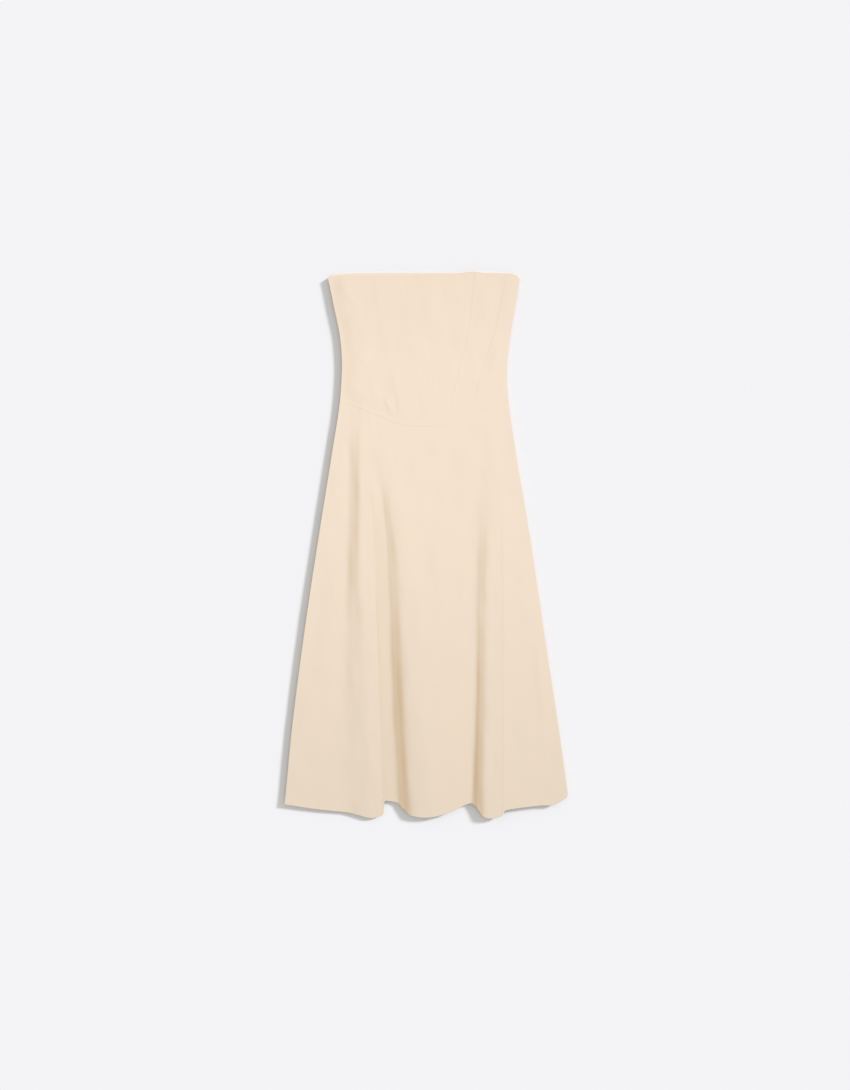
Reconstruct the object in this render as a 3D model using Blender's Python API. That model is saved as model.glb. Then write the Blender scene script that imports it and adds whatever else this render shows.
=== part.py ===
"""A strapless midi dress, laid flat on its back with its skirt in three soft folds.

Metres, +Z up. The dress lies in the XY plane with its top edge towards +Y. Left and right are as seen
from above. Every panel is a thin wall built on a grid: each grid point is worked out on the middle of
the cloth from the tables below, and the two skins lie half a thickness to either side of it.

The tables are in millimetres. "Across" runs from the middle of the hem towards +X, and "down" runs
from the highest point of the top edge towards the hem.
"""

from collections import namedtuple

import bmesh
import bpy
import numpy as np

MM = 0.001
LENGTH = 1092.0
CLOTH = 1.5
SEAM_GAP = 0.3

# The bodice is cut about this line, a little to the left of the middle of the hem.
BODICE_MIDDLE = -5.0

# How high the middle of the cloth lies: in the back panels, and at the front's top edge and side seams.
# The front bodice rounds up from its left side seam, over the width given.
BACK_LIES = CLOTH / 2
FRONT_EDGE_LIES = 6.9
LEFT_ROUND = 0.9
LEFT_ROUND_WIDTH = 30.0

# The back curls up over this width to lie under the front at the side seams.
CURL_WIDTH = 28.0
CURL_RISE = FRONT_EDGE_LIES - CLOTH - SEAM_GAP - BACK_LIES

# Each bodice panel puffs up a little between its seams, most of all at the bust.
PANEL_PUFF = 0.2
BUST_PUFF = 0.5
BUST_DOWN = 85.0
BUST_SPREAD = 55.0
WAIST_BLEND = 45.0
TOP_BLEND = 25.0

# Rows and columns of each panel's grid.
BODICE_ROWS = 14
CENTRE_COLUMNS = 14
SIDE_FRONT_COLUMNS = 6
SIDE_COLUMNS = 8
BACK_COLUMNS = 12
SKIRT_ROWS = 18
COLUMNS_BETWEEN_LINES = 3
SKIRT_BACK_COLUMNS = 12

# The back panels' columns crowd towards the side seams, where the cloth curls: 1 would space them evenly.
CROWDING = 1.5

CREAM = (0.90, 0.80, 0.66, 1.0)
ROUGHNESS = 0.85
SHARP_EDGE = np.radians(35)

# The outline's two sides, from the top corners to the hem's corners.
Side = namedtuple("Side", "down left right")
SIDES = (
    Side(14, -196.4, 186.2),
    Side(63, -187.0, 179.5),
    Side(140, -171.8, 166.4),
    Side(180, -168.8, 161.4),
    Side(216, -169.6, 160.2),
    Side(259, -172.8, 163.8),
    Side(354, -187.2, 177.0),
    Side(512, -212.4, 203.4),
    Side(736, -246.0, 237.0),
    Side(936, -271.0, 267.0),
    Side(1064, -283.0, 284.7),
)
WAIST_AT_SIDE = 259.0
TOP_AT_SIDE = 14.0
HEM_AT_LEFT = 1064.0
HEM_AT_RIGHT = 1050.0

# The top edge, by the distance from the bodice's middle. The back stands a little above the front.
TopEdge = namedtuple("TopEdge", "off_middle back front")
TOP_EDGES = (
    TopEdge(-191.4, 14.0, 14.0),
    TopEdge(-185.0, 7.5, 9.5),
    TopEdge(-174.0, 3.9, 7.4),
    TopEdge(-155.0, 1.8, 6.6),
    TopEdge(-90.0, 0.8, 6.0),
    TopEdge(0.0, 0.8, 5.4),
    TopEdge(60.0, 0.7, 3.4),
    TopEdge(102.0, 0.0, 0.3),
    TopEdge(125.0, 0.5, 2.8),
    TopEdge(152.0, 1.6, 5.6),
    TopEdge(168.0, 3.8, 7.0),
    TopEdge(180.0, 7.8, 9.6),
    TopEdge(191.2, 14.0, 14.0),
)

# The waist seam dips to a rounded point in front, and less behind.
Waist = namedtuple("Waist", "off_middle front back")
WAISTS = (
    Waist(0.0, 309.0, 268.0),
    Waist(30.0, 307.6, 267.6),
    Waist(55.0, 302.4, 266.6),
    Waist(78.0, 293.4, 265.2),
    Waist(102.0, 283.2, 263.4),
    Waist(130.0, 273.0, 261.2),
    Waist(150.0, 265.8, 260.0),
    Waist(168.0, 259.0, 259.0),
)

# The bodice's seams, by their distance from its middle at each share of the way down the panel.
Seam = namedtuple("Seam", "share inner outer")
SEAMS = (
    Seam(0.00, 102.0, 166.0),
    Seam(0.17, 97.0, 155.4),
    Seam(0.35, 91.5, 146.4),
    Seam(0.50, 83.8, 136.0),
    Seam(0.65, 71.6, 121.8),
    Seam(0.80, 59.4, 108.4),
    Seam(0.90, 54.4, 102.4),
    Seam(1.00, 53.0, 99.0),
)

# The lines that the front skirt's folds follow, from left to right: how far across and how high each
# one is at six stations from the waist to the hem, and how far down it meets the hem. A fold rises
# steeply from its foot, over its middle, to its top, and falls away slowly to the right. The left fold
# ends at d_edge, where its hem reaches further down than that of the strip beside it.
STATIONS = (0.0, 0.1, 0.2, 0.4, 0.7, 1.0)
Line = namedtuple("Line", "name across height hem")
FOLD_LINES = (
    Line("left_flat", (-161, -167, -169, -181, -197, -217), (6.8, 6.8, 6.7, 6.5, 6.3, 5.8), 1074),
    Line("c_foot", (-150, -155, -155, -159, -165, -159), (6.8, 6.7, 6.5, 6.1, 5.8, 5), 1080),
    Line("c_middle", (-138, -143.5, -143, -146.5, -143, -134), (7, 7.3, 7.2, 7, 6.4, 5.5), 1086),
    Line("c_top", (-128, -132, -133, -133, -121, -115), (7.2, 7.9, 8, 7.9, 6.9, 5.9), 1091),
    Line("left_plateau", (-121, -122.4, -122, -118, -106, -101), (7.2, 7.8, 7.9, 7.8, 6.8, 5.8), 1090),
    Line("d_edge", (-116, -115, -110, -102, -93, -86.4), (7.2, 7.7, 7.7, 7.5, 6.5, 5.5), 1083),
    Line("d_under", (-115, -114, -109, -101, -92, -85.4), (7.2, 7.7, 7.7, 7.4, 6.2, 5.1), 1070),
    Line("strip", (-112.6, -111.6, -106.6, -98.5, -89.5, -82.2), (7.2, 7.7, 7.6, 7.3, 6.1, 4.95), 1058),
    Line("a_foot", (-103, -100, -91, -80.5, -75, -62), (7.1, 7.6, 7.5, 7.2, 6.0, 5.8), 1060),
    Line("a_middle", (-92, -88, -81, -69, -59.5, -46), (7.1, 7.6, 7.9, 8.0, 7.7, 7.2), 1073),
    Line("a_top", (-79, -73, -70, -54, -45, -31), (7.1, 7.6, 8.3, 8.9, 9.4, 9.1), 1086),
    Line("middle_left", (-49, -43, -36, -27, -15, 1), (7.1, 7.5, 8.1, 8.9, 9.9, 9.7), 1090),
    Line("middle", (3, 7, 11, 17, 27, 37), (7, 7.3, 7.6, 8.2, 8.9, 8.6), 1083),
    Line("middle_right", (57, 61, 63, 65, 68, 68), (7, 7.1, 7.2, 7.6, 7.9, 7.3), 1069),
    Line("b_foot", (103, 105, 104, 98, 97.5, 90), (6.9, 6.9, 6.9, 7, 7.2, 6.4), 1062),
    Line("b_middle", (114, 116, 115, 110, 107.5, 102), (6.9, 6.9, 7.1, 7.7, 8.35, 8.3), 1073),
    Line("b_top", (125, 127, 126, 121.5, 118, 114.5), (6.9, 7, 7.3, 8.4, 9.2, 9.8), 1089),
    Line("right_crest", (135, 138, 139, 137, 135, 133), (6.9, 7, 7.3, 8.35, 9.15, 9.8), 1091),
    Line("e_foot", (143, 146, 148, 151, 152, 151), (6.9, 7, 7.2, 8.2, 8.95, 9.5), 1086),
    Line("e_top", (148, 151.6, 154, 157, 157.4, 155.6), (6.9, 7, 7.1, 8.05, 8.75, 9.2), 1076),
    Line("right_flat", (154, 162.6, 171, 187, 207, 227), (6.9, 6.9, 7, 7.5, 7.8, 7.7), 1066),
    Line("right_swell", (159, 169, 179, 200, 229, 253), (6.9, 6.9, 7, 7.2, 7.3, 7.3), 1065),
)

# The back's hem is a straight cut, just inside the front's all the way.
BACK_HEM_LEFT = 1061.0
BACK_HEM_RIGHT = 1047.0


def smooth_step(share):
    """Eases from 0 to 1, level at both ends."""
    share = np.clip(share, 0.0, 1.0)
    return share * share * (3.0 - 2.0 * share)


def smooth_curve(knots, values, at):
    """A smooth curve through values at knots, read at each of at. Values may hold points."""
    knots = np.asarray(knots, float)
    values = np.asarray(values, float)
    at = np.clip(np.asarray(at, float), knots[0], knots[-1])
    slopes = np.gradient(values, knots, axis=0)
    i = np.clip(np.searchsorted(knots, at, side="right") - 1, 0, len(knots) - 2)
    step = knots[i + 1] - knots[i]
    s = (at - knots[i]) / step
    if values.ndim > 1:
        s = s[..., None]
        step = step[..., None]
    near = (2 * s**3 - 3 * s**2 + 1) * values[i] + (s**3 - 2 * s**2 + s) * step * slopes[i]
    far = (3 * s**2 - 2 * s**3) * values[i + 1] + (s**3 - s**2) * step * slopes[i + 1]
    return near + far


def column(rows, name):
    """One named column of a table."""
    return [getattr(row, name) for row in rows]


def left_side(down):
    return smooth_curve(column(SIDES, "down"), column(SIDES, "left"), down)


def right_side(down):
    return smooth_curve(column(SIDES, "down"), column(SIDES, "right"), down)


def top_edge(across, layer):
    """How far down the top edge of a layer, front or back, is."""
    return smooth_curve(column(TOP_EDGES, "off_middle"), column(TOP_EDGES, layer), across - BODICE_MIDDLE)


def waist_seam(across, layer):
    """How far down the waist seam of a layer, front or back, is."""
    off_middle = np.abs(across - BODICE_MIDDLE)
    return smooth_curve(column(WAISTS, "off_middle"), column(WAISTS, layer), off_middle)


def bodice_seam(share, name):
    """How far from the bodice's middle the inner or outer seam is."""
    return smooth_curve(column(SEAMS, "share"), column(SEAMS, name), share)


def from_side(across, down):
    """The distance from the nearer side seam."""
    return np.minimum(across - left_side(down), right_side(down) - across)


def back_height(across, down):
    curl = 1.0 - smooth_step(from_side(across, down) / CURL_WIDTH)
    return BACK_LIES + CURL_RISE * curl


def bodice_level(across, down):
    """The front bodice rounds up from its left side, and falls away slowly to the right one."""
    from_left = across - left_side(down)
    width = right_side(down) - left_side(down)
    rise = smooth_step(from_left / LEFT_ROUND_WIDTH) * (1.0 - from_left / width)
    return FRONT_EDGE_LIES + LEFT_ROUND * rise


def fold_section(share, columns):
    """The front skirt's section at a share of the way down: across, height and the share of each line.

    A smooth curve through the fold lines, with the same number of columns between each two of them.
    """
    down_left = WAIST_AT_SIDE + share * (HEM_AT_LEFT - WAIST_AT_SIDE)
    down_right = WAIST_AT_SIDE + share * (HEM_AT_RIGHT - WAIST_AT_SIDE)
    points = [(float(left_side(down_left)), FRONT_EDGE_LIES)]
    for line in FOLD_LINES:
        across = float(smooth_curve(STATIONS, line.across, share))
        height = float(smooth_curve(STATIONS, line.height, share))
        points.append((across, height))
    points.append((float(right_side(down_right)), FRONT_EDGE_LIES))
    points = np.array(points)
    steps = np.sqrt(np.linalg.norm(np.diff(points, axis=0), axis=1))
    knots = np.concatenate([[0.0], np.cumsum(steps)])
    at = np.interp(columns, np.arange(len(points)), knots)
    return smooth_curve(knots, points, at)


def skirt_columns(between):
    """Where the front skirt's columns lie, counted in fold lines from the left side."""
    last = len(FOLD_LINES) + 1
    return np.linspace(0.0, last, last * between + 1)


def hem_down(columns):
    """How far down the front's hem is at each column."""
    hems = [HEM_AT_LEFT, *column(FOLD_LINES, "hem"), HEM_AT_RIGHT]
    return smooth_curve(np.arange(len(hems)), hems, columns)


def skirt_top(across):
    """The front skirt's top edge, as its grid has it: how far down and how high it is."""
    section = fold_section(0.0, skirt_columns(COLUMNS_BETWEEN_LINES))
    down = waist_seam(section[:, 0], "front") + SEAM_GAP / 2
    return np.interp(across, section[:, 0], down), np.interp(across, section[:, 0], section[:, 1])


def bodice_height(across, down, puff):
    """How high the front bodice lies. Puff is 0 at a seam and 1 in the middle of a panel."""
    bust = np.exp(-(((down - BUST_DOWN) / BUST_SPREAD) ** 2))
    height = bodice_level(across, down) + (PANEL_PUFF + BUST_PUFF * bust) * puff
    to_top = down - top_edge(across, "front")
    height = FRONT_EDGE_LIES + (height - FRONT_EDGE_LIES) * smooth_step(to_top / TOP_BLEND)
    waist, meets = skirt_top(across)
    return meets + (height - meets) * smooth_step((waist - down) / WAIST_BLEND)


def grid(rows, columns, crowding=1.0):
    """Two tables for a panel's grid: the share of the way down, and the share of the way across."""
    share = np.linspace(0, 1, rows + 1)
    side = np.linspace(0, 1, columns + 1) ** crowding
    return np.meshgrid(share, side, indexing="ij")


def place(across, down, height):
    """Points of the dress, in metres, from across, down and height in millimetres."""
    return np.stack([across, LENGTH / 2 - down, height], axis=-1) * MM


def outward(points):
    """The upward normal at each point of a grid, level along the dress so that cut edges stay square."""
    along = np.gradient(points, axis=0)
    across = np.gradient(points, axis=1)
    normals = np.cross(along, across)
    normals[..., 1] = 0.0
    return normals / np.linalg.norm(normals, axis=-1, keepdims=True)


def cream_cloth():
    material = bpy.data.materials.new("cream_cloth")
    material.use_nodes = True
    shader = material.node_tree.nodes["Principled BSDF"]
    shader.inputs["Base Color"].default_value = CREAM
    shader.inputs["Roughness"].default_value = ROUGHNESS
    shader.inputs["Metallic"].default_value = 0.0
    return material


def wall(name, points, material):
    """A named panel: a closed wall of cloth on a grid of points along its middle."""
    half = outward(points) * CLOTH * MM / 2
    rows, columns = points.shape[:2]
    mesh = bmesh.new()
    upper = [[mesh.verts.new(p) for p in row] for row in points + half]
    lower = [[mesh.verts.new(p) for p in row] for row in points - half]
    for r in range(rows - 1):
        for c in range(columns - 1):
            mesh.faces.new((upper[r][c], upper[r + 1][c], upper[r + 1][c + 1], upper[r][c + 1]))
            mesh.faces.new((lower[r][c], lower[r][c + 1], lower[r + 1][c + 1], lower[r + 1][c]))
    rim = [(r, 0) for r in range(rows)]
    rim += [(rows - 1, c) for c in range(1, columns)]
    rim += [(r, columns - 1) for r in range(rows - 2, -1, -1)]
    rim += [(0, c) for c in range(columns - 2, 0, -1)]
    for (r, c), (next_r, next_c) in zip(rim, rim[1:] + rim[:1]):
        mesh.faces.new((upper[next_r][next_c], upper[r][c], lower[r][c], lower[next_r][next_c]))
    data = bpy.data.meshes.new(name)
    mesh.to_mesh(data)
    mesh.free()
    data.shade_smooth()
    data.set_sharp_from_angle(angle=SHARP_EDGE)
    data.materials.append(material)
    panel = bpy.data.objects.new(name, data)
    bpy.context.scene.collection.objects.link(panel)
    return panel


def bodice_front_panel(name, left, right, columns, material):
    """A front panel between two edges, each a function of the share of the way down."""
    share, side = grid(BODICE_ROWS, columns)
    across = left(share) * (1 - side) + right(share) * side
    top = top_edge(across, "front")
    bottom = skirt_top(across)[0] - SEAM_GAP
    down = top + (bottom - top) * share
    height = bodice_height(across, down, np.sin(np.pi * side))
    return wall(name, place(across, down, height), material)


def seam_line(name, side, towards):
    """A seam's edge: side is -1 for the left seam and 1 for the right, towards the way the gap opens."""
    return lambda share: BODICE_MIDDLE + side * bodice_seam(share, name) + towards * SEAM_GAP / 2


def side_line(outline):
    """A side seam's line, by the share of the way from the top corner to the waist seam."""
    return lambda share: outline(TOP_AT_SIDE + share * (WAIST_AT_SIDE - TOP_AT_SIDE))


def bodice_fronts(material):
    """The five panels of the front bodice, from the left side seam to the right one."""
    panels = (
        ("bodice_side_left", side_line(left_side), seam_line("outer", -1, -1), SIDE_COLUMNS),
        ("bodice_front_left", seam_line("outer", -1, 1), seam_line("inner", -1, -1), SIDE_FRONT_COLUMNS),
        ("bodice_front_centre", seam_line("inner", -1, 1), seam_line("inner", 1, -1), CENTRE_COLUMNS),
        ("bodice_front_right", seam_line("inner", 1, 1), seam_line("outer", 1, -1), SIDE_FRONT_COLUMNS),
        ("bodice_side_right", seam_line("outer", 1, 1), side_line(right_side), SIDE_COLUMNS),
    )
    for name, left, right, columns in panels:
        bodice_front_panel(name, left, right, columns, material)


def bodice_backs(material):
    """The back bodice, in two halves that meet at the middle."""
    halves = (
        ("bodice_back_left", side_line(left_side), BODICE_MIDDLE - SEAM_GAP / 2, True),
        ("bodice_back_right", side_line(right_side), BODICE_MIDDLE + SEAM_GAP / 2, False),
    )
    for name, side, middle, from_left in halves:
        share, part = grid(BODICE_ROWS, BACK_COLUMNS, CROWDING)
        across = side(share) * (1 - part) + middle * part
        top = top_edge(across, "back")
        bottom = waist_seam(across, "back") - SEAM_GAP / 2
        down = top + (bottom - top) * share
        points = place(across, down, back_height(across, down))
        wall(name, points if from_left else points[:, ::-1], material)


def skirt_front(material):
    """The front skirt: one panel, from the waist seam to the hem, in folds."""
    columns = skirt_columns(COLUMNS_BETWEEN_LINES)
    waist_across = fold_section(0.0, columns)[:, 0]
    top = waist_seam(waist_across, "front") + SEAM_GAP / 2
    hem = hem_down(columns)
    rows = []
    for share in np.linspace(0, 1, SKIRT_ROWS + 1):
        section = fold_section(share, columns)
        down = top + (hem - top) * share
        rows.append(place(section[:, 0], down, section[:, 1]))
    return wall("skirt_front", np.array(rows), material)


def skirt_backs(material):
    """The back skirt, in two flat halves that meet at the middle."""
    halves = (
        ("skirt_back_left", left_side, HEM_AT_LEFT, BACK_HEM_LEFT, -SEAM_GAP / 2, True),
        ("skirt_back_right", right_side, HEM_AT_RIGHT, BACK_HEM_RIGHT, SEAM_GAP / 2, False),
    )
    for name, side, front_hem, hem_at_side, gap, from_left in halves:
        share, part = grid(SKIRT_ROWS, SKIRT_BACK_COLUMNS, CROWDING)
        outer = side(WAIST_AT_SIDE + share * (front_hem - WAIST_AT_SIDE))
        middle = BODICE_MIDDLE * (1 - share) + gap
        across = outer * (1 - part) + middle * part
        top = waist_seam(across[:1], "back") + SEAM_GAP / 2
        hem_at_middle = (BACK_HEM_LEFT + BACK_HEM_RIGHT) / 2
        hem = hem_at_side * (1 - part) + hem_at_middle * part
        down = top + (hem - top) * share
        points = place(across, down, back_height(across, down))
        wall(name, points if from_left else points[:, ::-1], material)


def main():
    for thing in list(bpy.data.objects):
        bpy.data.objects.remove(thing, do_unlink=True)
    material = cream_cloth()
    bodice_fronts(material)
    bodice_backs(material)
    skirt_front(material)
    skirt_backs(material)


main()
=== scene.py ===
# %% [markdown]
# # A strapless dress, laid flat
#
# The dress is five front bodice panels, two back ones, a front skirt in one piece and a back skirt in
# two. It lies on its back on a pale table, and the skirt has fallen into three soft folds. This lesson
# builds each panel as a thin sheet of cloth, sews them along their edges, and lights and photographs
# the dress from straight above.
#
# The plain rigid model of the dress comes first. It fixes the size and place of every panel, and each
# finer panel made here takes the place of one of its pieces.

from collections import namedtuple

import bpy
import numpy as np
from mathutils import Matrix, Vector


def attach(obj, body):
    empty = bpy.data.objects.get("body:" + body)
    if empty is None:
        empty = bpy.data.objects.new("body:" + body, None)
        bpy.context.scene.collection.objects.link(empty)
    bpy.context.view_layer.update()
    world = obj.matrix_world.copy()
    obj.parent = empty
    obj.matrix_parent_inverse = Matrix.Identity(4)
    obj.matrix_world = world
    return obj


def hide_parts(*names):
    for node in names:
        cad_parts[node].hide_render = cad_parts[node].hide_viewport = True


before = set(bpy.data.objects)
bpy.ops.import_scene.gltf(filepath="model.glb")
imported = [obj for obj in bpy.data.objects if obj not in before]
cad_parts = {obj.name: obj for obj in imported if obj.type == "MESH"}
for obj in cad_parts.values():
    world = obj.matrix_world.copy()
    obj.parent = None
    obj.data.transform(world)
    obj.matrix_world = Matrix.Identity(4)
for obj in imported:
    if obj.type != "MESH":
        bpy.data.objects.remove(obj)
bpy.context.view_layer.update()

# %% [markdown]
# ## Measuring on the cloth
#
# Everything is measured in millimetres, as a maker would: "across" from the middle of the hem towards
# the right, and "down" from the highest point of the top edge. A pattern is drawn by marking a few
# points and joining them with a smooth curve, so one helper does that for every table below. It is a
# cubic curve that passes through each mark and bends no more than the marks ask for.

# %% Curves through a few marks
MM = 0.001
LENGTH = 1092.0


def column(rows, name):
    """One named column of a table."""
    return [getattr(row, name) for row in rows]


def smooth_curve(marks, values, at):
    """A smooth curve through values at marks, read at each of at."""
    marks = np.asarray(marks, float)
    values = np.asarray(values, float)
    at = np.clip(np.asarray(at, float), marks[0], marks[-1])
    slopes = np.gradient(values, marks, axis=0)
    i = np.clip(np.searchsorted(marks, at, side="right") - 1, 0, len(marks) - 2)
    step = marks[i + 1] - marks[i]
    s = (at - marks[i]) / step
    if values.ndim > 1:
        s = s[..., None]
        step = step[..., None]
    near = (2 * s**3 - 3 * s**2 + 1) * values[i] + (s**3 - 2 * s**2 + s) * step * slopes[i]
    far = (3 * s**2 - 2 * s**3) * values[i + 1] + (s**3 - s**2) * step * slopes[i + 1]
    return near + far


def ease(share):
    """Goes from 0 to 1, level at both ends."""
    share = np.clip(share, 0.0, 1.0)
    return share * share * (3.0 - 2.0 * share)


# %% [markdown]
# ## The outline
#
# The two side seams run from the rounded corners of the top edge, in at the waist and out to the hem.
# They aren't mirror images: cloth never lies quite even. The top edge is nearly straight, with the
# back standing a few millimetres above the front. The waist seam dips to a rounded point in front.

# %% The side seams, the top edge and the waist seam
BODICE_MIDDLE = -5.0
TOP_AT_SIDE = 14.0
WAIST_AT_SIDE = 259.0
HEM_AT_LEFT = 1064.0
HEM_AT_RIGHT = 1050.0

Side = namedtuple("Side", "down left right")
SIDES = (
    Side(14, -196.4, 186.2),
    Side(63, -187.0, 179.5),
    Side(140, -171.8, 166.4),
    Side(180, -168.8, 161.4),
    Side(216, -169.6, 160.2),
    Side(259, -172.8, 163.8),
    Side(354, -187.2, 177.0),
    Side(512, -212.4, 203.4),
    Side(736, -246.0, 237.0),
    Side(936, -271.0, 267.0),
    Side(1030, -279.8, 280.0),
    Side(1042, -281.0, 281.6),
    Side(1064, -283.0, 276.1),
)

TopEdge = namedtuple("TopEdge", "off_middle back front")
TOP_EDGES = (
    TopEdge(-191.4, 14.0, 14.0),
    TopEdge(-185.0, 8.8, 10.2),
    TopEdge(-174.0, 5.6, 8.2),
    TopEdge(-155.0, 2.9, 6.9),
    TopEdge(-128.0, 1.4, 6.4),
    TopEdge(-90.0, 0.8, 6.0),
    TopEdge(0.0, 0.8, 5.4),
    TopEdge(60.0, 0.7, 3.4),
    TopEdge(102.0, 0.0, 0.3),
    TopEdge(125.0, 0.5, 2.8),
    TopEdge(152.0, 1.0, 3.2),
    TopEdge(168.0, 1.8, 3.0),
    TopEdge(180.0, 4.8, 5.4),
    TopEdge(186.5, 8.4, 8.8),
    TopEdge(191.2, 14.0, 14.0),
)

Waist = namedtuple("Waist", "off_middle front back")
WAISTS = (
    Waist(0.0, 309.0, 268.0),
    Waist(30.0, 307.6, 267.6),
    Waist(55.0, 302.4, 266.6),
    Waist(78.0, 293.4, 265.2),
    Waist(102.0, 283.2, 263.4),
    Waist(130.0, 273.0, 261.2),
    Waist(150.0, 265.8, 260.0),
    Waist(168.0, 259.0, 259.0),
)


def side_seam(side, down):
    return smooth_curve(column(SIDES, "down"), column(SIDES, side), down)


def top_edge(across, layer):
    return smooth_curve(column(TOP_EDGES, "off_middle"), column(TOP_EDGES, layer), across - BODICE_MIDDLE)


def waist_seam(across, layer):
    return smooth_curve(
        column(WAISTS, "off_middle"), column(WAISTS, layer), np.abs(across - BODICE_MIDDLE)
    )


print("flat width at the top edge:", side_seam("right", TOP_AT_SIDE) - side_seam("left", TOP_AT_SIDE), "mm")
print("flat width at the waist:", side_seam("right", WAIST_AT_SIDE) - side_seam("left", WAIST_AT_SIDE), "mm")

# %% [markdown]
# ## How the layers lie
#
# The back lies flat on the table, and curls up at the side seams to meet the front, because the seam
# allowances inside hold the edge off the table. The front lies nearly level between the side seams,
# with a little air under it. All these heights are the middle of the cloth. The edge's height is what
# sets how wide the dress's shadow is, so it was worked out from the shadow.

# %% Heights of the back and the front
CLOTH = 1.0
SEAM = 0.03
BACK_LIES = CLOTH / 2
FRONT_EDGE_LIES = 6.9
LEFT_ROUND = 0.7
LEFT_ROUND_WIDTH = 30.0
CURL_WIDTH = 28.0
CURL_RISE = FRONT_EDGE_LIES - CLOTH - SEAM - BACK_LIES


def from_side(across, down):
    return np.minimum(across - side_seam("left", down), side_seam("right", down) - across)


def back_height(across, down):
    return BACK_LIES + CURL_RISE * (1.0 - ease(from_side(across, down) / CURL_WIDTH))


def bodice_level(across, down):
    """The front bodice rounds up from its left side, and falls away slowly to the right one."""
    from_left = across - side_seam("left", down)
    width = side_seam("right", down) - side_seam("left", down)
    rise = ease(from_left / LEFT_ROUND_WIDTH) * (1.0 - from_left / width)
    return FRONT_EDGE_LIES + LEFT_ROUND * rise


# %% [markdown]
# ## A panel of cloth
#
# Blender has a Solidify modifier that turns a sheet into a wall. Here the wall is built directly, so
# that a free edge can be rounded like a turned and pressed one, a sewn edge can stay tight against its
# neighbour, and every panel can carry a map of its own cloth in metres. The weave is laid along that
# map, and follows the cloth round each fold.
#
# A panel starts as a grid of points along the middle of the cloth, in rows from top to bottom. The two
# skins lie half a thickness to either side, and a ring of points round the rim closes the edge. Smooth
# shading blends each face into the next, so one more row is put just inside every edge. Without it the
# edge's roundness would spread over the whole first row of faces, and the seams would look like ditches.
#
# Each point also remembers three things for the colour: how far down the dress it is, how warm the light
# is that reaches it, and how much painted shade darkens it along a crease. The light is warm where the
# cloth stands steep or lies between two folds, but none of it gets into the painted shade of a crease.

# %% Build a wall from a grid
PANELS = {}
INSIDE_FREE_EDGE = 0.3
INSIDE_SEWN_EDGE = 0.1
SEWN_REACH = 0.01
LEVEL_UP_TO = 0.01
STEEP_FROM = 0.20
# Where the painted crease shade reaches this, no warm light is added.
FULL_CREASE_SHADE = 0.4


def upward(points):
    """The upward normal of the cloth at each point of its grid."""
    normals = np.cross(np.gradient(points, axis=0), np.gradient(points, axis=1))
    return normals / np.linalg.norm(normals, axis=-1, keepdims=True)


def inside_row(edge, neighbour, is_sewn):
    """A row of points just inside an edge of a grid."""
    distance = INSIDE_SEWN_EDGE if is_sewn else INSIDE_FREE_EDGE
    gap = np.linalg.norm((neighbour - edge)[..., :2], axis=-1, keepdims=True)
    return (edge + (neighbour - edge) * np.minimum(distance * MM / gap, 0.5))[None]


def with_edge_rows(grid, axis, first_sewn, last_sewn):
    """The grid with one more row of points just inside its first and last ones."""
    grid = np.moveaxis(grid, axis, 0)
    first = inside_row(grid[0], grid[1], first_sewn)
    last = inside_row(grid[-1], grid[-2], last_sewn)
    return np.moveaxis(np.concatenate([grid[:1], first, grid[1:-1], last, grid[-1:]]), 0, axis)


def cloth_map(points):
    """How far each point lies along the cloth, across and down, in metres."""
    across = np.linalg.norm(np.diff(points, axis=1), axis=-1)
    across = np.pad(np.cumsum(across, axis=1), ((0, 0), (1, 0)))
    across -= across[:, across.shape[1] // 2, None]
    down = np.linalg.norm(np.diff(points, axis=0), axis=-1)
    down = np.pad(np.cumsum(down, axis=0), ((1, 0), (0, 0)))
    return np.stack([across, -down], axis=-1)


def rim_of(rows, columns):
    """The grid places round the rim: down the left, along the bottom, up the right and back."""
    rim = [(r, 0) for r in range(rows)]
    rim += [(rows - 1, c) for c in range(1, columns)]
    rim += [(r, columns - 1) for r in range(rows - 2, -1, -1)]
    rim += [(0, c) for c in range(columns - 2, 0, -1)]
    return np.array(rim)


def is_sewn(rim, rows, columns, sewn):
    """Which places of the rim are on a sewn edge."""
    edges = {"top": rim[:, 0] == 0, "bottom": rim[:, 0] == rows - 1}
    edges |= {"left": rim[:, 1] == 0, "right": rim[:, 1] == columns - 1}
    return np.any([edges[name] for name in sewn], axis=0)


def keep_value(mesh, name, values):
    """Stores one number for each point of a mesh, for its finish to read."""
    layer = mesh.attributes.new(name=name, type="FLOAT", domain="POINT")
    layer.data.foreach_set("value", values.astype(np.float32))


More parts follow.
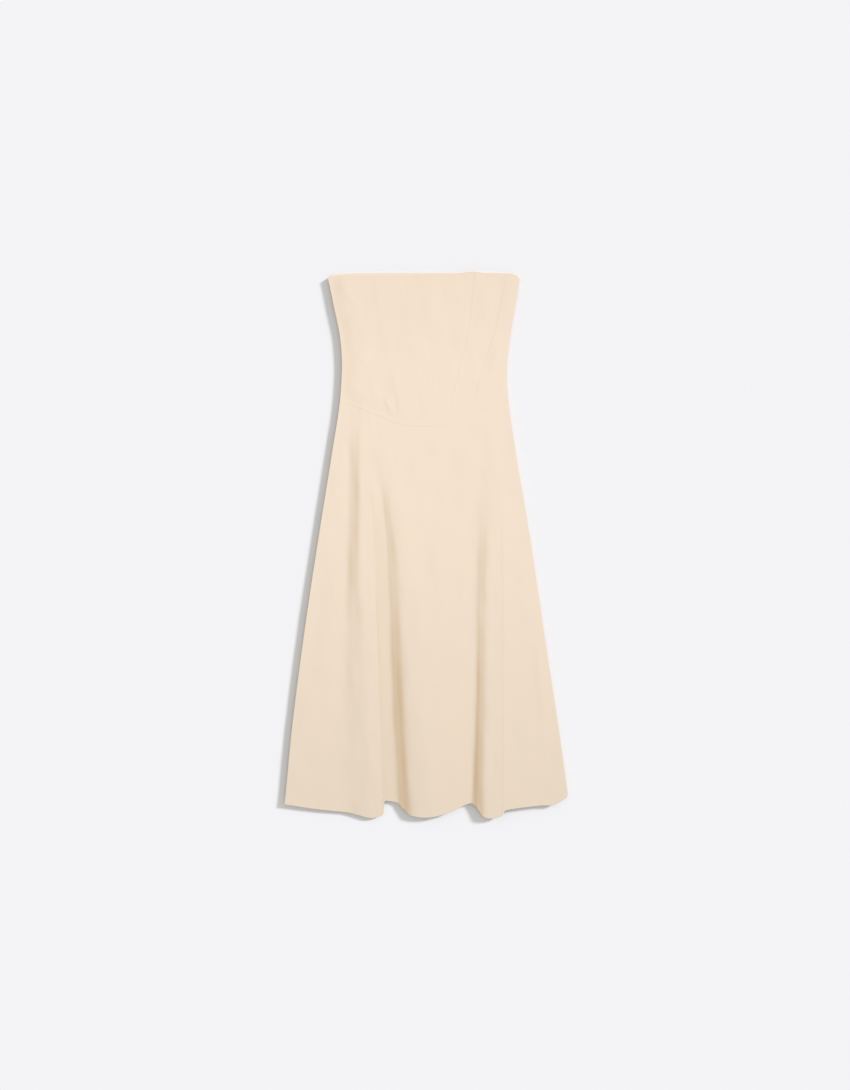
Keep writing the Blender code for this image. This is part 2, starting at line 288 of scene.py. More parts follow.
def panel(name, across, down, height, finishes, sewn, thickness=CLOTH, pressed=0.0, between_folds=0.0):
    """A panel of cloth from its grid in millimetres. Its sewn edges are named, and the rest are free.

    Finishes are the upper skin's and then the lower one's. Pressed is how much painted shade darkens the
    colour at each point along the creases, and between_folds is how much warm light its neighbours send it, both from
    0 to 1.
    """
    thickness = np.broadcast_to(np.asarray(thickness, float), across.shape)
    pressed = np.broadcast_to(np.asarray(pressed, float), across.shape)
    between_folds = np.broadcast_to(np.asarray(between_folds, float), across.shape)
    grid = np.stack([across, LENGTH / 2 - down, height, thickness, pressed, between_folds], axis=-1) * MM
    grid = with_edge_rows(grid, 0, "top" in sewn, "bottom" in sewn)
    grid = with_edge_rows(grid, 1, "left" in sewn, "right" in sewn)
    middle, half = grid[..., :3], grid[..., 3:4] / 2
    pressed, between_folds = grid[..., 4].ravel() / MM, grid[..., 5].ravel() / MM
    rows, columns = middle.shape[:2]
    normals = upward(middle)
    rim = rim_of(rows, columns)
    ring = middle[rim[:, 0], rim[:, 1]]
    along = np.roll(ring, -1, axis=0) - np.roll(ring, 1, axis=0)
    outward = np.cross(along, normals[rim[:, 0], rim[:, 1]])
    outward /= np.linalg.norm(outward, axis=-1, keepdims=True)
    reach = np.where(is_sewn(rim, rows, columns, sewn), SEWN_REACH * MM, half[rim[:, 0], rim[:, 1], 0])
    ring = ring + outward * reach[:, None]
    points = np.concatenate(
        [(middle + normals * half).reshape(-1, 3), (middle - normals * half).reshape(-1, 3), ring]
    )
    skin = rows * columns
    place = np.arange(skin).reshape(rows, columns)
    a, b, c, d = place[:-1, :-1], place[1:, :-1], place[1:, 1:], place[:-1, 1:]
    upper = np.stack([a, b, c, d], axis=-1).reshape(-1, 4)
    lower = np.stack([a, d, c, b], axis=-1).reshape(-1, 4) + skin
    here = place[rim[:, 0], rim[:, 1]]
    after = np.roll(here, -1)
    edge = 2 * skin + np.arange(len(rim))
    edge_after = np.roll(edge, -1)
    rim_up = np.stack([after, here, edge, edge_after], axis=-1)
    rim_down = np.stack([edge_after, edge, here + skin, after + skin], axis=-1)
    faces = np.concatenate([upper, lower, rim_up, rim_down])
    mesh = bpy.data.meshes.new(name)
    mesh.from_pydata(points.tolist(), [], faces.tolist())
    on_cloth = cloth_map(middle).reshape(-1, 2)
    on_cloth = np.concatenate([on_cloth, on_cloth, on_cloth[here]])
    layer = mesh.uv_layers.new(name="cloth")
    corners = np.empty(len(mesh.loops), dtype=np.int32)
    mesh.loops.foreach_get("vertex_index", corners)
    layer.data.foreach_set("uv", on_cloth[corners].astype(np.float32).ravel())
    tilt = (np.hypot(normals[..., 0], normals[..., 1]) / normals[..., 2]).ravel()
    steep = ease((tilt - LEVEL_UP_TO) / (STEEP_FROM - LEVEL_UP_TO))
    warm = np.clip(steep + between_folds, 0.0, 1.0) * (1.0 - ease(pressed / FULL_CREASE_SHADE))
    keep_value(mesh, "warm", np.concatenate([warm, warm, np.zeros(len(here))]))
    # The pressed value is painted shade: the finish darkens the colour by it along the creases.
    keep_value(mesh, "pressed", np.concatenate([pressed, pressed, pressed[here]]))
    keep_value(mesh, "down", 0.5 - points[:, 1] / (LENGTH * MM))
    mesh.shade_smooth()
    for finish in finishes:
        mesh.materials.append(finish)
    is_lower = np.zeros(len(faces), dtype=np.int32)
    is_lower[len(upper) : 2 * len(upper)] = 1
    mesh.polygons.foreach_set("material_index", is_lower)
    piece = bpy.data.objects.new(name, mesh)
    bpy.context.scene.collection.objects.link(piece)
    PANELS[name] = piece
    print(name, "is", rows, "by", columns, "points")
    return piece


# %% [markdown]
# ## The cloth's finish
#
# The cloth is a smooth, matt, warm cream with a close weave, such as a stretch twill. From arm's length
# the weave can't be seen as threads: it shows as a soft grain, with a thread here and there a little
# thicker. Both are made from the panel's own cloth map, so they run along the cut of each panel.
#
# Four things change the colour. It deepens slowly from the waist to the hem. Where the cloth stands
# steep or lies between two folds, light that has already met the cloth tints it warmer, which a cream
# cloth shows more than a white one would. In a pressed crease it is darker, because hardly any light gets in. Slow patches,
# too faint to point at, stop it looking like paint. A little sheen stands for the fine hairs that catch
# light at the edge of a fold.

# %% Mix the cream cloth
WARP_PER_METRE = 1500.0
TWILL_SLANT = 0.9
CREAM = (0.893, 0.752, 0.608)
HEM_CREAM = (0.874, 0.874, 0.868)
WARM_CREAM = (0.91, 0.81, 0.66)
# The tint of the painted shade along the creases.
CREASE_SHADE_TINT = (0.78, 0.76, 0.70)
INSIDE_PALER = 0.35
PATCH = 0.985

# How far the colour has deepened towards the hem's, by the share of the way down the dress.
Deeper = namedtuple("Deeper", "down share")
DEEPENING = (
    Deeper(0.00, 0.25),
    Deeper(0.10, 0.10),
    Deeper(0.20, 0.00),
    Deeper(0.38, 0.12),
    Deeper(0.60, 0.40),
    Deeper(0.83, 0.78),
    Deeper(1.00, 1.00),
)


def node(tree, kind, **settings):
    """A shader node with its settings and plain input values."""
    made = tree.nodes.new(kind)
    for name, value in settings.items():
        if hasattr(made, name):
            setattr(made, name, value)
        else:
            made.inputs[name.replace("_", " ")].default_value = value
    return made


def tinted(tree, colour, tint, amount):
    """A colour multiplied by a tint, as far as amount says."""
    mix = node(tree, "ShaderNodeMix", data_type="RGBA", blend_type="MULTIPLY")
    factor = mix.inputs[0]
    first, second = [socket for socket in mix.inputs if socket.type == "RGBA"]
    second.default_value = (*tint, 1.0)
    tree.links.new(amount, factor)
    tree.links.new(colour, first)
    return [socket for socket in mix.outputs if socket.type == "RGBA"][0]


def deepening(tree):
    """The share of the hem's colour at each place, read from how far down the dress it is."""
    down = node(tree, "ShaderNodeAttribute", attribute_name="down")
    curve = node(tree, "ShaderNodeFloatCurve")
    points = curve.mapping.curves[0].points
    for spare in range(len(DEEPENING) - len(points)):
        points.new(0.5, 0.5)
    for point, row in zip(points, DEEPENING):
        point.location = (row.down, row.share)
    curve.mapping.update()
    tree.links.new(down.outputs["Fac"], curve.inputs["Value"])
    return curve.outputs[0]


def cream_cloth(name, paler=0.0, roughness=0.85):
    """Cream twill with grain, slubs, a low sheen and the four changes of colour.

    Paler is how far the cream goes towards white, from 0 to 1.
    """
    material = bpy.data.materials.new(name)
    material.use_nodes = True
    tree = material.node_tree
    link = tree.links.new
    shader = tree.nodes["Principled BSDF"]
    shader.inputs["Roughness"].default_value = roughness
    shader.inputs["Specular IOR Level"].default_value = 0.2
    shader.inputs["Sheen Weight"].default_value = 0.05
    shader.inputs["Sheen Roughness"].default_value = 0.5
    on_cloth = node(tree, "ShaderNodeUVMap", uv_map="cloth")
    patches = node(tree, "ShaderNodeTexNoise", Scale=9.0, Detail=3.0, Roughness=0.55)
    link(on_cloth.outputs[0], patches.inputs["Vector"])
    stretch = node(tree, "ShaderNodeMapping")
    stretch.inputs["Scale"].default_value = (WARP_PER_METRE * 0.35, WARP_PER_METRE * 0.02, 1.0)
    link(on_cloth.outputs[0], stretch.inputs["Vector"])
    slubs = node(tree, "ShaderNodeTexNoise", Scale=1.0, Detail=2.0)
    link(stretch.outputs[0], slubs.inputs["Vector"])
    cream = node(tree, "ShaderNodeRGB")
    cream.outputs[0].default_value = (*[value + (1.0 - value) * paler for value in CREAM], 1.0)
    warm = node(tree, "ShaderNodeAttribute", attribute_name="warm")
    colour = tinted(tree, cream.outputs[0], HEM_CREAM, deepening(tree))
    colour = tinted(tree, colour, WARM_CREAM, warm.outputs["Fac"])
    # Painted shade: the colour is darkened along the creases by the pressed value.
    pressed = node(tree, "ShaderNodeAttribute", attribute_name="pressed")
    colour = tinted(tree, colour, CREASE_SHADE_TINT, pressed.outputs["Fac"])
    colour = tinted(tree, colour, (PATCH, PATCH, PATCH * PATCH), patches.outputs["Fac"])
    colour = tinted(tree, colour, (PATCH, PATCH, PATCH * PATCH), slubs.outputs["Fac"])
    link(colour, shader.inputs["Base Color"])
    turned = node(tree, "ShaderNodeMapping")
    turned.inputs["Rotation"].default_value = (0.0, 0.0, TWILL_SLANT)
    link(on_cloth.outputs[0], turned.inputs["Vector"])
    twill = node(tree, "ShaderNodeTexWave", Scale=WARP_PER_METRE / 6.3, Distortion=1.2, Detail=1.0)
    link(turned.outputs[0], twill.inputs["Vector"])
    weave = node(tree, "ShaderNodeBump", Strength=0.2, Distance=0.00008)
    link(twill.outputs["Fac"], weave.inputs["Height"])
    grain = node(tree, "ShaderNodeBump", Strength=0.2, Distance=0.00015)
    link(slubs.outputs["Fac"], grain.inputs["Height"])
    link(weave.outputs["Normal"], grain.inputs["Normal"])
    link(grain.outputs["Normal"], shader.inputs["Normal"])
    return material


cloth_outside = cream_cloth("cream_cloth_outside")
cloth_inside = cream_cloth("cream_cloth_inside", paler=INSIDE_PALER)
print("mixed", cloth_outside.name, "and", cloth_inside.name)

# %% [markdown]
# ## Small unevenness
#
# No cloth lies like paper. Two things are added to each panel's height. Soft lines are the drags and
# wrinkles that someone would point at: each one is a low ridge, or a trough where its height is
# negative, along a straight run with faded ends. Slow waves are the unevenness that nobody
# points at, and would miss. They are a few long sine waves that cross at odd angles.

# %% Soft lines and slow waves
SoftLine = namedtuple("SoftLine", "across_1 down_1 across_2 down_2 width height")
Wave = namedtuple("Wave", "turns_across turns_down start height")

SLOW_WAVES = (
    Wave(0.0112, 0.0031, 0.4, 0.060),
    Wave(0.0187, -0.0042, 2.1, 0.040),
    Wave(0.0271, 0.0057, 4.0, 0.026),
    Wave(-0.0063, 0.0124, 1.3, 0.050),
    Wave(0.0430, -0.0090, 5.2, 0.014),
)


def soft_lines(lines, across, down):
    """The height that a table of soft lines adds at each point."""
    total = np.zeros_like(across)
    for line in lines:
        run = np.array([line.across_2 - line.across_1, line.down_2 - line.down_1], float)
        length = np.hypot(*run)
        run /= length
        right = across - line.across_1
        below = down - line.down_1
        along = (right * run[0] + below * run[1]) / length
        beside = right * run[1] - below * run[0]
        fade = np.sin(np.pi * np.clip(along, 0.0, 1.0)) ** 0.8
        total += line.height * fade * np.exp(-((beside / line.width) ** 2))
    return total


def slow_waves(across, down):
    total = np.zeros_like(across)
    for wave in SLOW_WAVES:
        turn = wave.turns_across * across + wave.turns_down * down
        total += wave.height * np.sin(2 * np.pi * turn + wave.start)
    return total


# %% [markdown]
# ## The skirt's folds
#
# A flared skirt has more hem than the table has room for, so its cloth stands up in folds that start
# below the waist and grow towards the hem. The folds are drawn as lines that run down the skirt: the
# foot, shoulder and crest of each one. The table says how far across and how high each line is at
# four stations, from the waist to the hem. A smooth curve through the lines at one station is the
# cloth's section there, so the whole skirt follows from one table. The left fold's edge
# is the top of a small step down to the strip of cloth beside it.

# %% The table of fold lines
STATIONS = (0.0, 0.1, 0.2, 0.4, 0.7, 1.0)
Line = namedtuple("Line", "name across height hem")
FOLD_LINES = (
    Line("left_flat", (-161, -167, -169, -181, -197, -217), (6.8, 6.8, 6.7, 6.5, 6.3, 5.8), 1074),
    Line("c_foot", (-150, -155, -155, -159, -165, -159), (6.8, 6.7, 6.5, 6.1, 5.8, 5), 1080),
    Line("c_middle", (-138, -143.5, -143, -146.5, -143, -134), (7, 7.3, 7.2, 7, 6.4, 5.5), 1086),
    Line("c_top", (-128, -132, -133, -133, -121, -115), (7.2, 7.9, 8, 7.9, 6.9, 5.8), 1091),
    Line("left_plateau", (-121, -122.4, -122, -118, -106, -101), (7.2, 7.8, 7.9, 7.8, 6.8, 5.65), 1090),
    Line("d_edge", (-116, -115, -110, -102, -93, -86.4), (7.2, 7.7, 7.7, 7.5, 6.5, 5.3), 1083),
    Line("d_under", (-115, -114, -109, -101, -92, -85.4), (7.2, 7.7, 7.7, 7.4, 6.3, 5.1), 1063),
    Line("strip", (-112.6, -111.6, -106.6, -98.5, -89.5, -82.2), (7.2, 7.7, 7.6, 7.3, 6.2, 5.05), 1057),
    Line("a_foot", (-103, -100, -90, -78, -71, -58.5), (7.1, 7.6, 7.5, 7.2, 6.05, 5.35), 1061),
    Line("a_middle", (-92, -88, -81, -69, -59.5, -46), (7.1, 7.6, 7.9, 7.8, 7.25, 6.6), 1073),
    Line("a_top", (-79, -73, -70, -54, -45, -31), (7.1, 7.6, 8.3, 8.85, 9.1, 8.5), 1086),
    Line("middle_left", (-49, -43, -36, -27, -15, 1), (7.1, 7.5, 8.1, 8.9, 9.7, 9.15), 1090),
    Line("middle", (3, 7, 11, 17, 27, 37), (7, 7.3, 7.6, 8.2, 8.9, 8.3), 1083),
    Line("middle_right", (57, 61, 63, 65, 68, 68), (7, 7.1, 7.2, 7.6, 7.9, 7.3), 1069),
    Line("b_foot", (103, 105, 104, 98, 97.5, 90), (6.9, 6.9, 6.9, 7, 7.2, 6.4), 1062),
    Line("b_middle", (114, 116, 115, 110, 107.5, 102), (6.9, 6.9, 7.1, 7.7, 8.35, 8.3), 1073),
    Line("b_top", (125, 127, 126, 121.5, 118, 114.5), (6.9, 7, 7.3, 8.4, 9.2, 9.8), 1089),
    Line("right_crest", (135, 138, 139, 137, 135, 133), (6.9, 7, 7.3, 8.35, 9.15, 9.8), 1091),
    Line("e_foot", (143, 146, 148, 151, 152, 151), (6.9, 7, 7.2, 8.2, 8.95, 9.5), 1086),
    Line("e_top", (148, 151.6, 154, 157, 157.4, 155.6), (6.9, 7, 7.1, 8.05, 8.75, 9.2), 1076),
    Line("right_flat", (154, 162.6, 171, 187, 207, 227), (6.9, 6.9, 7, 7.5, 7.8, 7.7), 1066),
    Line("right_swell", (159, 169, 179, 200, 229, 253), (6.9, 6.9, 7, 7.2, 7.3, 7.3), 1065),
)


def fold_section(share, columns):
    """The front skirt's section at a share of the way down: across and height at each column."""
    left = side_seam("left", WAIST_AT_SIDE + share * (HEM_AT_LEFT - WAIST_AT_SIDE))
    right = side_seam("right", WAIST_AT_SIDE + share * (HEM_AT_RIGHT - WAIST_AT_SIDE))
    marks = [(float(left), FRONT_EDGE_LIES)]
    for line in FOLD_LINES:
        marks.append(
            (float(smooth_curve(STATIONS, line.across, share)), float(smooth_curve(STATIONS, line.height, share)))
        )
    marks.append((float(right), FRONT_EDGE_LIES))
    marks = np.array(marks)
    steps = np.sqrt(np.linalg.norm(np.diff(marks, axis=0), axis=1))
    knots = np.concatenate([[0.0], np.cumsum(steps)])
    return smooth_curve(knots, marks, np.interp(columns, np.arange(len(marks)), knots))


# %% [markdown]
# ## The front skirt
#
# It is one piece with no seam. Its hem follows the folds: where the cloth stands up, it reaches
# further down the table. The hem is turned up and stitched 10 mm from its edge, so the cloth is
# thicker there and puckers a little between the stitches.

# %% Cut the front skirt
COLUMNS_BETWEEN = 8
SKIRT_ROWS = 200
HEM_TURN = 10.0
HEM_ROWS = 20
HEM_ZONE = 20.0
HEM_THICKNESS = 1.1
PUCKER = 0.04
PUCKER_LENGTH = 11.0

SEWN_INSET = SEAM / 2 + SEWN_REACH

# Painted shade along the creases where one fold presses on the next: the line it follows, the shares of the way down
# where it begins and ends, how dark it is and how wide.
Crease = namedtuple("Crease", "line begins ends depth width")
CREASES = (
    Crease("c_middle", 0.12, 0.36, 0.20, 1.6),
    Crease("d_under", 0.16, 1.2, 0.26, 1.5),
    Crease("d_edge", 0.40, 1.2, 0.50, 1.2),
    Crease("e_foot", 0.24, 1.2, 0.16, 2.4),
)
CREASE_FADE = 0.1

Valley = namedtuple("Valley", "left_line right_line begins warmth")
VALLEY = Valley("d_under", "a_middle", 0.2, 0.19)
VALLEY_EDGE = 1.5

SKIRT_LINES = (
    SoftLine(-60, 330, -40, 640, 14, 0.15),
    SoftLine(20, 420, 30, 900, 16, 0.15),
    SoftLine(-235, 560, -255, 980, 10, 0.15),
    SoftLine(-205, 420, -225, 860, 12, -0.12),
    SoftLine(215, 640, 244, 1040, 9, 0.25),
    SoftLine(176, 420, 190, 900, 12, -0.12),
    SoftLine(45, 330, 60, 560, 12, -0.12),
)


def skirt_columns(between):
    last = len(FOLD_LINES) + 1
    return np.linspace(0.0, last, last * between + 1)


def hem_down(columns):
    hems = [HEM_AT_LEFT, *column(FOLD_LINES, "hem"), HEM_AT_RIGHT]
    return smooth_curve(np.arange(len(hems)), hems, columns)


def skirt_top(across):
    """The front skirt's top edge: how far down and how high it is."""
    section = fold_section(0.0, skirt_columns(COLUMNS_BETWEEN))
    down = waist_seam(section[:, 0], "front")
    return np.interp(across, section[:, 0], down), np.interp(across, section[:, 0], section[:, 1])


def painted_crease_shade(across, share):
    """How much painted shade darkens the colour at each point, along the lines where one fold presses on the next."""
    total = np.zeros_like(across)
    for crease in CREASES:
        beside = across - line_across(crease.line, share)
        fade = ease((share - crease.begins) / CREASE_FADE) * ease((crease.ends - share) / CREASE_FADE)
        total += crease.depth * fade * np.exp(-((beside / crease.width) ** 2))
    return total


def line_across(name, share):
    """How far across a fold line runs at a share of the way down."""
    line = next(line for line in FOLD_LINES if line.name == name)
    return smooth_curve(STATIONS, line.across, share)


def warm_valley(across, share):
    """How much warm light the cloth gets in the narrow valley between two folds."""
    left = line_across(VALLEY.left_line, share)
    right = line_across(VALLEY.right_line, share)
    inside = ease((across - left) / VALLEY_EDGE) * ease((right - across) / (right - left))
    return VALLEY.warmth * inside * ease((share - VALLEY.begins) / CREASE_FADE)


def cut_front_skirt(finishes):
    columns = skirt_columns(COLUMNS_BETWEEN)
    top = waist_seam(fold_section(0.0, columns)[:, 0], "front") + SEWN_INSET
    hem = hem_down(columns) - CLOTH / 2
    body = np.linspace(0, 1, SKIRT_ROWS + 1)[:-1, None]
    zone = np.linspace(0, 1, HEM_ROWS + 1)[:, None]
    down = np.concatenate([top + (hem - HEM_ZONE - top) * body, hem - HEM_ZONE * (1 - zone)])
    share = (down - top) / (hem - top)
    section = np.array([fold_section(s, columns) for s in share.mean(axis=1)])
    across, height = section[..., 0], section[..., 1]
    settle = ease((down - top) / 30.0)
    height = height + settle * (slow_waves(across, down) + soft_lines(SKIRT_LINES, across, down))
    from_hem = hem - down
    stitched = np.exp(-(((from_hem - HEM_TURN) / 1.2) ** 2))
    turned = ease((HEM_TURN + 2.0 - from_hem) / 4.0)
    pucker = np.sin(2 * np.pi * across / PUCKER_LENGTH + np.sin(across / 23.0))
    height = height + PUCKER * pucker * np.exp(-(((from_hem - HEM_TURN / 2) / 6.0) ** 2)) - 0.04 * stitched
    thickness = CLOTH + (HEM_THICKNESS - CLOTH) * turned
    # Painted shade that darkens the colour along the creases.
    pressed = painted_crease_shade(across, share)
    between_folds = warm_valley(across, share)
    sewn = ("top", "left", "right")
    return panel(
        "skirt_front_cloth", across, down, height, finishes, sewn, thickness, pressed, between_folds
    )


skirt_front = cut_front_skirt((cloth_outside, cloth_inside))

# %% [markdown]
# ## The front bodice
#
# Five panels shape the bodice. Their seams lean in towards the waist, which is what makes it fitted.
# The seams are very fine. What shows is that their allowances are pressed towards the side seams and up
# from the waist, so the panel on that side stands a hair higher. With the light from the right, the
# right-hand seams have a thin dark edge, and the left-hand ones nearly vanish. The few soft lines are
# drags: under the top corners, beside the right outer seam, and from the left inner seam to the waist.

# %% Cut the five front panels
Seam = namedtuple("Seam", "share inner outer")
SEAMS = (
    Seam(0.00, 102.0, 166.0),
    Seam(0.17, 97.0, 155.4),
    Seam(0.35, 91.5, 146.4),
    Seam(0.50, 83.8, 136.0),
    Seam(0.65, 71.6, 121.8),
    Seam(0.80, 59.4, 108.4),
    Seam(0.90, 54.4, 102.4),
    Seam(1.00, 53.0, 99.0),
)
PANEL_PUFF = 0.15
BUST_PUFF = 0.35
PUFF_WIDTH = 190.0
BUST_DOWN = 85.0
BUST_SPREAD = 55.0
TOP_BLEND = 25.0
WAIST_BLEND = 45.0
ALLOWANCE = 9.0
ALLOWANCE_LIFT = 0.05
WAIST_LIFT = 0.09
SEAM_SINK = 0.02
SEAM_SINK_WIDTH = 2.5
BODICE_ROWS = 150
GRID_SPACING = 2.4

BODICE_LINES = (
    SoftLine(-172, 20, -140, 72, 7, 0.16),
    SoftLine(-160, 12, -138, 40, 5, -0.12),
    SoftLine(134, 62, 106, 104, 6, 0.16),
    SoftLine(-84, 250, -62, 300, 4, 0.32),
    SoftLine(-66, 236, -58, 290, 4, -0.15),
    SoftLine(-150, 140, -120, 190, 8, 0.10),
    SoftLine(148, 150, 122, 215, 7, 0.12),
    SoftLine(-40, 40, 20, 60, 14, 0.10),
    SoftLine(60, 180, 76, 250, 6, 0.10),
)


def bodice_seam(name, side):
    """A seam's line, by the share of the way down the panel. Side is -1 for the left and 1 for the right."""
    spread = lambda share: smooth_curve(column(SEAMS, "share"), column(SEAMS, name), share)
    return lambda share: BODICE_MIDDLE + side * spread(share)


def side_line(side):
    return lambda share: side_seam(side, TOP_AT_SIDE + share * (WAIST_AT_SIDE - TOP_AT_SIDE))


def seam_relief(left, right, is_sewn_left, is_sewn_right, towards):
    """What the seams add to a panel's height. Allowances are pressed towards the nearer side seam.

    Left and right are the distances to the panel's two edges. Towards is -1 on the left of the bodice,
    1 on the right and 0 in the middle panel, which has no allowances under it.
    """
    relief = np.zeros_like(left)
    for distance, sewn, lifted in ((left, is_sewn_left, towards > 0), (right, is_sewn_right, towards < 0)):
        if sewn and lifted:
            relief += ALLOWANCE_LIFT * (1.0 - ease(distance / ALLOWANCE))
        elif sewn:
            relief -= SEAM_SINK * np.exp(-((distance / SEAM_SINK_WIDTH) ** 2))
    return relief


def cut_bodice_panel(name, left, right, sewn, towards, finishes):
    shares = np.linspace(0, 1, BODICE_ROWS + 1)
    count = int(np.max(right(shares) - left(shares)) / GRID_SPACING)
    share, side = np.meshgrid(shares, np.linspace(0, 1, count + 1), indexing="ij")
    from_left = left(share) + SEWN_INSET
    to_right = right(share) - SEWN_INSET
    across = from_left * (1 - side) + to_right * side
    top = top_edge(across, "front") + CLOTH / 2
    waist, meets = skirt_top(across)
    down = top + (waist - SEWN_INSET - top) * share
    bust = np.exp(-(((down - BUST_DOWN) / BUST_SPREAD) ** 2))
    puff = (PANEL_PUFF + BUST_PUFF * bust) * np.minimum((to_right - from_left) / PUFF_WIDTH, 1.0)
    height = bodice_level(across, down) + puff * np.sin(np.pi * side)
    height = FRONT_EDGE_LIES + (height - FRONT_EDGE_LIES) * ease((down - top) / TOP_BLEND)
    height += slow_waves(across, down) + soft_lines(BODICE_LINES, across, down)
    height += seam_relief(across - from_left, to_right - across, "left" in sewn, "right" in sewn, towards)
    height = meets + (height - meets) * ease((waist - down) / WAIST_BLEND)
    height += WAIST_LIFT * (1.0 - ease((waist - down) / ALLOWANCE))
    return panel(name, across, down, height, finishes, ("left", "right", "bottom"))


FRONT_PANELS = (
    ("bodice_side_left_cloth", side_line("left"), bodice_seam("outer", -1), ("right",), -1),
    ("bodice_front_left_cloth", bodice_seam("outer", -1), bodice_seam("inner", -1), ("left", "right"), -1),
    ("bodice_front_centre_cloth", bodice_seam("inner", -1), bodice_seam("inner", 1), ("left", "right"), 0),
    ("bodice_front_right_cloth", bodice_seam("inner", 1), bodice_seam("outer", 1), ("left", "right"), 1),
    ("bodice_side_right_cloth", bodice_seam("outer", 1), side_line("right"), ("left",), 1),
)
for name, left, right, sewn, towards in FRONT_PANELS:
    cut_bodice_panel(name, left, right, sewn, towards, (cloth_outside, cloth_inside))

# %% [markdown]
# ## The back
#
# The back bodice and the back skirt are cut in halves that meet in a seam down the middle, where such
# a dress closes. They lie flat on the table, so they are plain, and curl up at the side seams to meet
# the front. The back's hem is a straight cut that stays just inside the front's.

# %% Cut the four back panels
BACK_HEM_LEFT = 1061.0
BACK_HEM_RIGHT = 1047.0
BACK_COLUMNS = 60
BACK_SKIRT_ROWS = 120
CROWDING = 1.5


def back_grid(rows):
    return np.meshgrid(np.linspace(0, 1, rows + 1), np.linspace(0, 1, BACK_COLUMNS + 1) ** CROWDING, indexing="ij")


def cut_back(name, side, across, down, sewn, finishes):
    """A back panel. Its grid runs from its side seam to the middle, so the right one is turned round."""
    height = back_height(across, down)
    if side == "right":
        across, down, height = across[:, ::-1], down[:, ::-1], height[:, ::-1]
    return panel(name, across, down, height, finishes, ("left", "right", sewn))


for side in ("left", "right"):
    towards = -1 if side == "left" else 1

    share, part = back_grid(BODICE_ROWS)
    outer = side_line(side)(share) - towards * SEWN_INSET
    across = outer * (1 - part) + (BODICE_MIDDLE + towards * SEWN_INSET) * part
    top = top_edge(across, "back") + CLOTH / 2
    down = top + (waist_seam(across, "back") - SEWN_INSET - top) * share
    cut_back(f"bodice_back_{side}_cloth", side, across, down, "bottom", (cloth_inside, cloth_outside))

    share, part = back_grid(BACK_SKIRT_ROWS)
    front_hem = HEM_AT_LEFT if side == "left" else HEM_AT_RIGHT
    hem_at_side = BACK_HEM_LEFT if side == "left" else BACK_HEM_RIGHT
    outer = side_seam(side, WAIST_AT_SIDE + share * (front_hem - WAIST_AT_SIDE)) - towards * SEWN_INSET
    across = outer * (1 - part) + (BODICE_MIDDLE * (1 - share) + towards * SEWN_INSET) * part
    top = waist_seam(across[:1], "back") + SEWN_INSET
    hem = hem_at_side * (1 - part) + (BACK_HEM_LEFT + BACK_HEM_RIGHT) / 2 * part
    cut_back(f"skirt_back_{side}_cloth", side, across, top + (hem - top) * share, "top", (cloth_inside, cloth_outside))

# %% [markdown]
#
# Every panel takes the place of one piece of the plain model and moves with it. The panels' own
# measured areas are printed beside the cut.

# %% Give each panel its place, and print its cut
Cut = namedtuple("Cut", "node width length area rests_on")
CUTS = (
    Cut("bodice_side_left", 0.093, 0.270, 0.0107, "bodice_back_left"),
    Cut("bodice_front_left", 0.113, 0.300, 0.0150, "bodice_back_left"),
    Cut("bodice_front_centre", 0.205, 0.308, 0.0480, "bodice_back_left"),
    Cut("bodice_front_right", 0.113, 0.300, 0.0152, "bodice_back_right"),
    Cut("bodice_side_right", 0.093, 0.270, 0.0114, "bodice_back_right"),
    Cut("bodice_back_left", 0.193, 0.268, 0.0458, None),
    Cut("bodice_back_right", 0.193, 0.268, 0.0465, None),
    Cut("skirt_front", 0.575, 0.835, 0.3730, "skirt_back_left"),
    Cut("skirt_back_left", 0.285, 0.803, 0.1845, None),
    Cut("skirt_back_right", 0.288, 0.796, 0.1805, None),
)


def cloth_area(piece):
    """Half of the wall's surface, in square metres."""
    areas = np.empty(len(piece.data.polygons))
    piece.data.polygons.foreach_get("area", areas)
    return areas.sum() / 2


for cut in CUTS:
    piece = PANELS[f"{cut.node}_cloth"]
    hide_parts(cut.node)
    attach(piece, "root")
    print(cut.node, "is cut to", cut.area, "square metres and measures", round(cloth_area(piece), 4))

# %% [markdown]
# ## The table
#
# The dress lies on a plain white table. It is much wider than the view, so it has no edge in the
# picture, and a very slight mottle keeps it from being a pure flat colour.

# %% Lay the table
TABLE_SIZE = 12.0
BELOW = 0.0002


def table_finish():
    material = bpy.data.materials.new("white_table")
    material.use_nodes = True
    tree = material.node_tree
    shader = tree.nodes["Principled BSDF"]
    shader.inputs["Roughness"].default_value = 0.9
    shader.inputs["Specular IOR Level"].default_value = 0.1
    mottle = node(tree, "ShaderNodeTexNoise", Scale=3.0, Detail=2.0)
    shades = node(tree, "ShaderNodeValToRGB")
    shades.color_ramp.elements[0].color = (0.870, 0.872, 0.880, 1.0)
    shades.color_ramp.elements[1].color = (0.880, 0.882, 0.890, 1.0)
    tree.links.new(mottle.outputs["Fac"], shades.inputs[0])
    tree.links.new(shades.outputs[0], shader.inputs["Base Color"])
    return material


half = TABLE_SIZE / 2
table_mesh = bpy.data.meshes.new("table")
corners = [(-half, -half, -BELOW), (half, -half, -BELOW), (half, half, -BELOW), (-half, half, -BELOW)]
table_mesh.from_pydata(corners, [], [(0, 1, 2, 3)])
table_mesh.materials.append(table_finish())
table = bpy.data.objects.new("table", table_mesh)
bpy.context.scene.collection.objects.link(table)

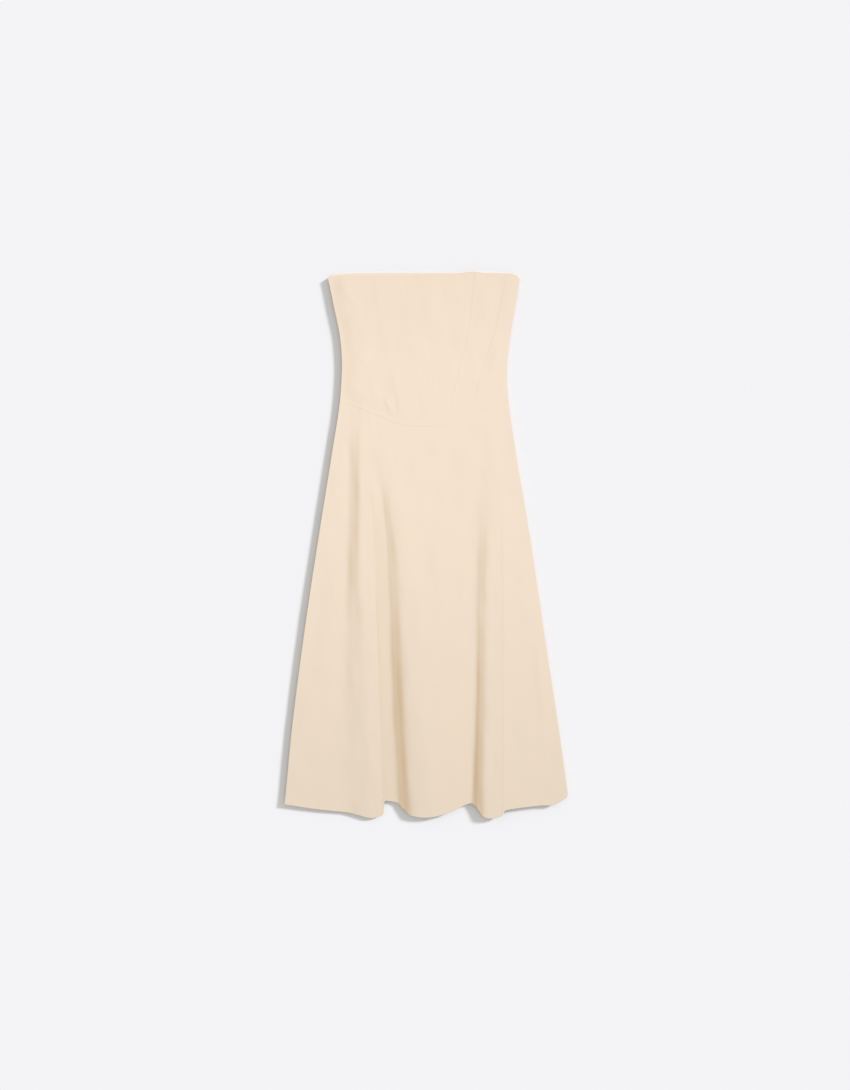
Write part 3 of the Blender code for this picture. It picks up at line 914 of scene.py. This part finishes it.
# %% [markdown]
# ## Light
#
# The dress was lit by one broad soft lamp, low and to the upper right, with white light filling in from
# all round. The lamp is a sun with a small disc, which keeps the shadow's edge the same all along the
# dress. Its height above the table sets how wide the shadow is, and its share of the light sets how
# dark the shadow is.

# %% Set the lights
SUN_TOWARDS = Vector((0.891, 0.454, 0.0))
SUN_HEIGHT = 22.0
SUN_STRENGTH = 3.65
SUN_COLOUR = (0.926, 0.926, 1.0)
SUN_DISC = 9.0
FILL_STRENGTH = 0.63
FILL_COLOUR = (1.0, 0.995, 0.963)

sun_light = bpy.data.lights.new("low_lamp", "SUN")
sun_light.energy = SUN_STRENGTH
sun_light.angle = np.radians(SUN_DISC)
sun_light.color = SUN_COLOUR
sun = bpy.data.objects.new("low_lamp", sun_light)
low = np.radians(SUN_HEIGHT)
direction = SUN_TOWARDS.normalized() * np.cos(low) + Vector((0.0, 0.0, np.sin(low)))
sun.rotation_euler = direction.to_track_quat("Z", "Y").to_euler()
bpy.context.scene.collection.objects.link(sun)

world = bpy.data.worlds.new("white_room")
world.use_nodes = True
room = world.node_tree.nodes["Background"]
room.inputs["Color"].default_value = (*FILL_COLOUR, 1.0)
room.inputs["Strength"].default_value = FILL_STRENGTH
bpy.context.scene.world = world

# %% [markdown]
# ## Camera
#
# The camera looks straight down. The view is 2.18 m tall, so that one millimetre on the dress is half
# a pixel of the picture. The colours are shown as they are, with no film look, because the background
# of such a picture is nearly white.

# %% Place the camera
VIEW_TALL = 2.18
LENS = 50.0
SENSOR = 36.0
CAMERA_ACROSS = -0.003

camera_data = bpy.data.cameras.new("from_above")
camera_data.lens = LENS
camera_data.sensor_width = SENSOR
camera = bpy.data.objects.new("from_above", camera_data)
camera.location = (CAMERA_ACROSS, 0.0, VIEW_TALL * LENS / SENSOR)
bpy.context.scene.collection.objects.link(camera)
bpy.context.scene.camera = camera
bpy.context.scene.view_settings.view_transform = "Standard"
bpy.context.scene.view_settings.look = "None"
print("the camera is", round(camera.location.z, 3), "m above the table")
